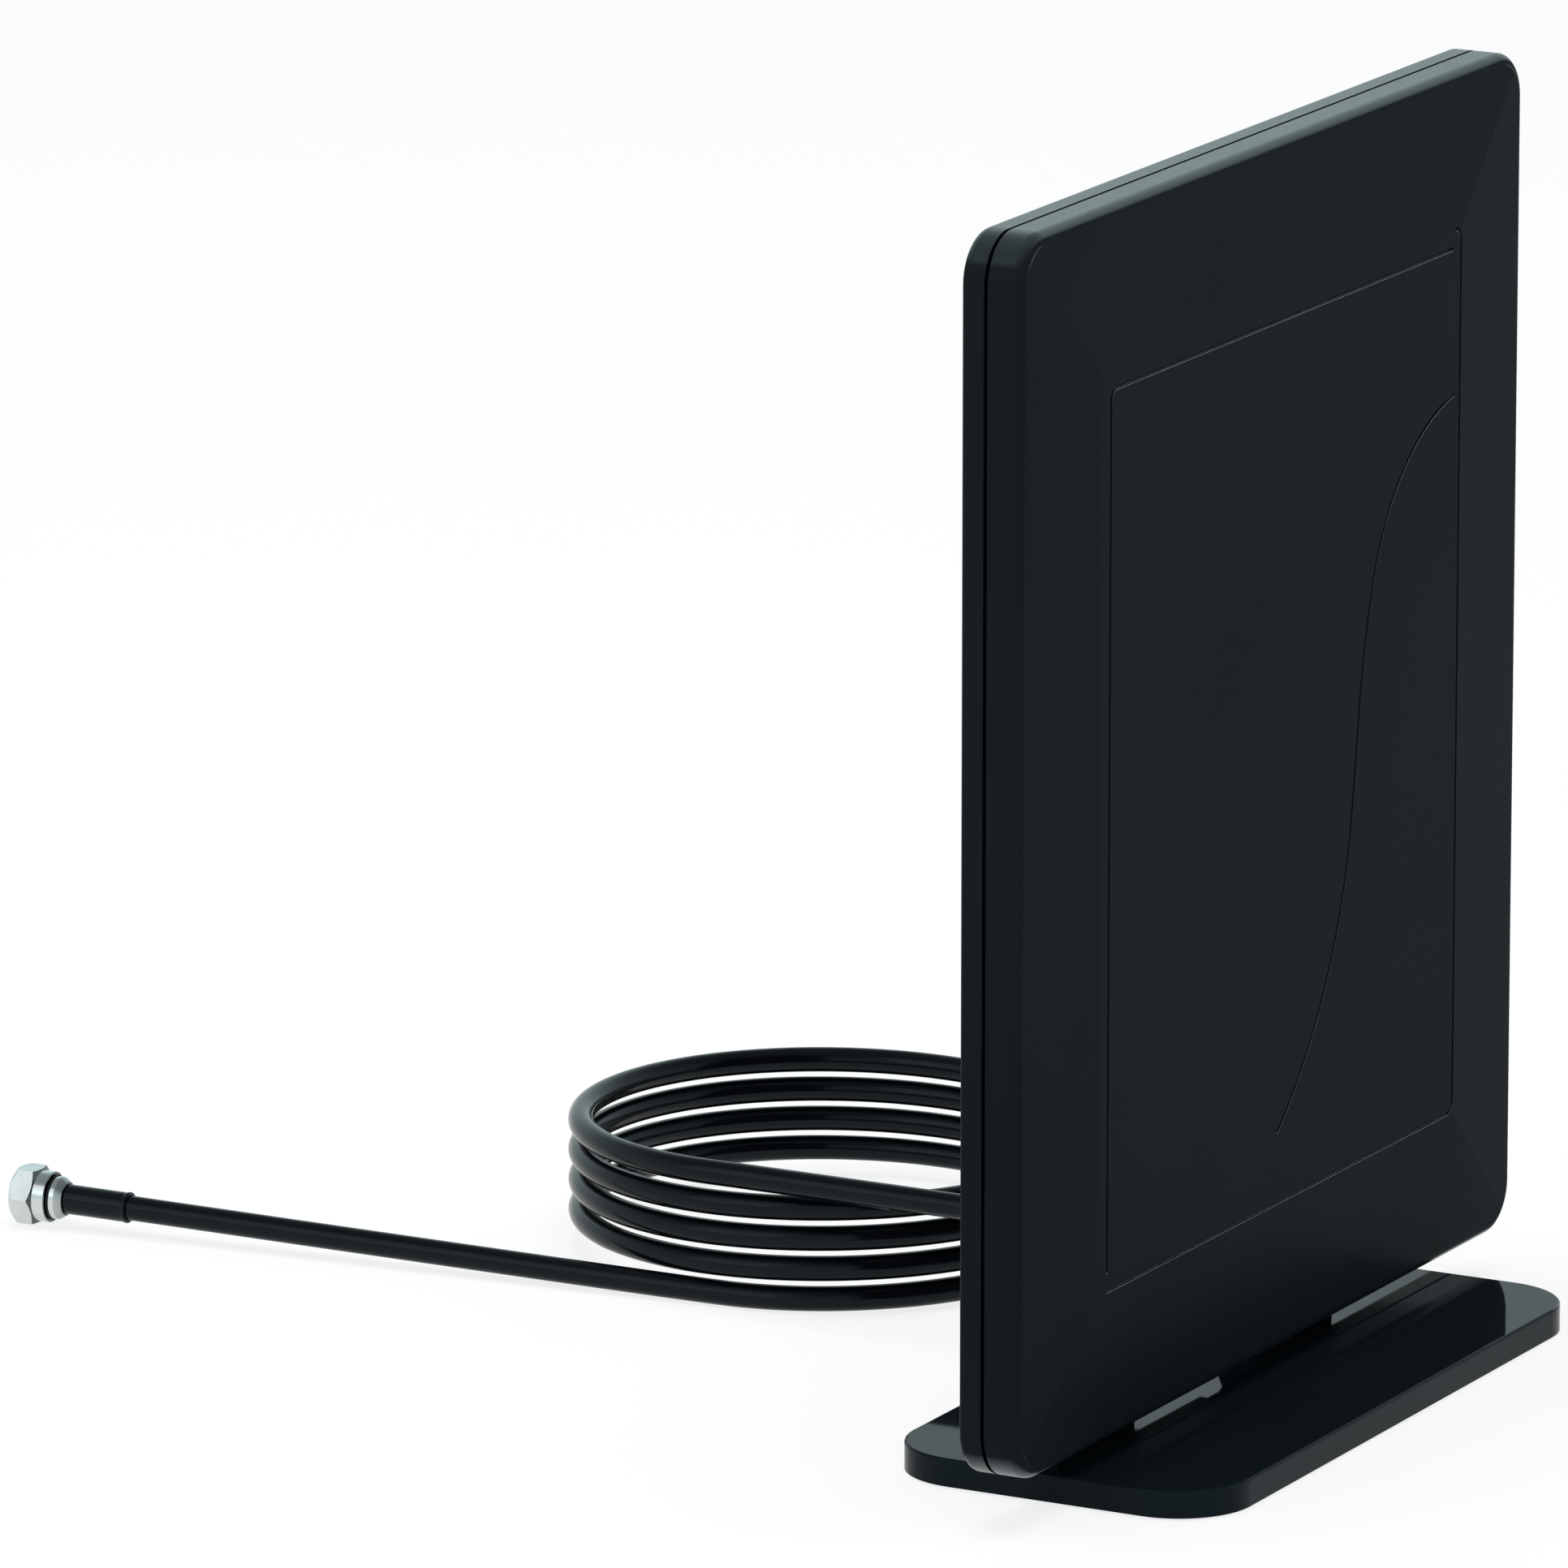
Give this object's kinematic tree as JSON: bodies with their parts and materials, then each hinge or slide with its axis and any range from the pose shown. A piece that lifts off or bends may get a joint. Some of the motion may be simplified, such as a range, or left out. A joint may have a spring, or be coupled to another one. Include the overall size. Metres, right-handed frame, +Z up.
{
  "type": "indoor tv antenna",
  "caption": "Flat upright indoor television antenna panel on a weighted stand, with a coiled coaxial lead that ends in a screw-on connector.",
  "frame": {"origin": "on the table under the middle of the stand", "axes": "+Z up, the panel's face looks along -Y, +X along the panel's width to the right seen from the front"},
  "size_m": [0.2256, 0.3131, 0.251],
  "materials": {
    "panel_black": "fine satin moulded plastic",
    "stand_gloss": "polished moulded plastic",
    "cover_black": "plain moulded plastic",
    "screw_steel": "zinc plated",
    "ballast_steel": "rolled plate",
    "tinned_steel": "tinned sheet",
    "board_green": "solder resist",
    "copper_foil": "bright copper",
    "ferrite": "sintered ferrite",
    "cord_black": "smooth flexible cable jacket",
    "sleeve_black": "shrunk sleeve",
    "connector_nickel": "satin nickel plate",
    "seal_rubber": "matte rubber",
    "core_white": "foam insulation",
    "foot_rubber": "matte rubber"
  },
  "bodies": {
    "antenna": {"front_shell": "panel_black", "back_shell": "panel_black", "shell_screws": "screw_steel", "element_board": "board_green", "matching_board": "board_green", "board_screws": "screw_steel", "foil_element_left": "copper_foil", "foil_element_right": "copper_foil", "shield_can": "tinned_steel", "balun_core": "ferrite", "stand_base": "stand_gloss", "bracket_screws": "screw_steel", "ballast_plate": "ballast_steel", "base_cover": "cover_black", "base_screws": "screw_steel", "cable_gland": "cord_black", "cord_lead": "cord_black", "cord_coil": "cord_black", "cord_run": "cord_black", "cable_sleeve": "sleeve_black", "crimp_ferrule": "connector_nickel", "seal_ring": "seal_rubber", "connector_post": "connector_nickel", "dielectric_core": "core_white", "centre_pin": "copper_foil", "foot_front_left": "foot_rubber", "foot_front_right": "foot_rubber", "foot_rear_left": "foot_rubber", "foot_rear_right": "foot_rubber"},
    "nut": {"coupling_nut": "connector_nickel"}
  },
  "joints": [
    {"name": "nut_spin", "type": "hinge", "parent": "antenna", "child": "nut", "pos_m": [-0.00108, 0.27123, 0.00619], "axis": [-0.0796, 0.9965, 0.0236], "continuous": true}
  ]
}
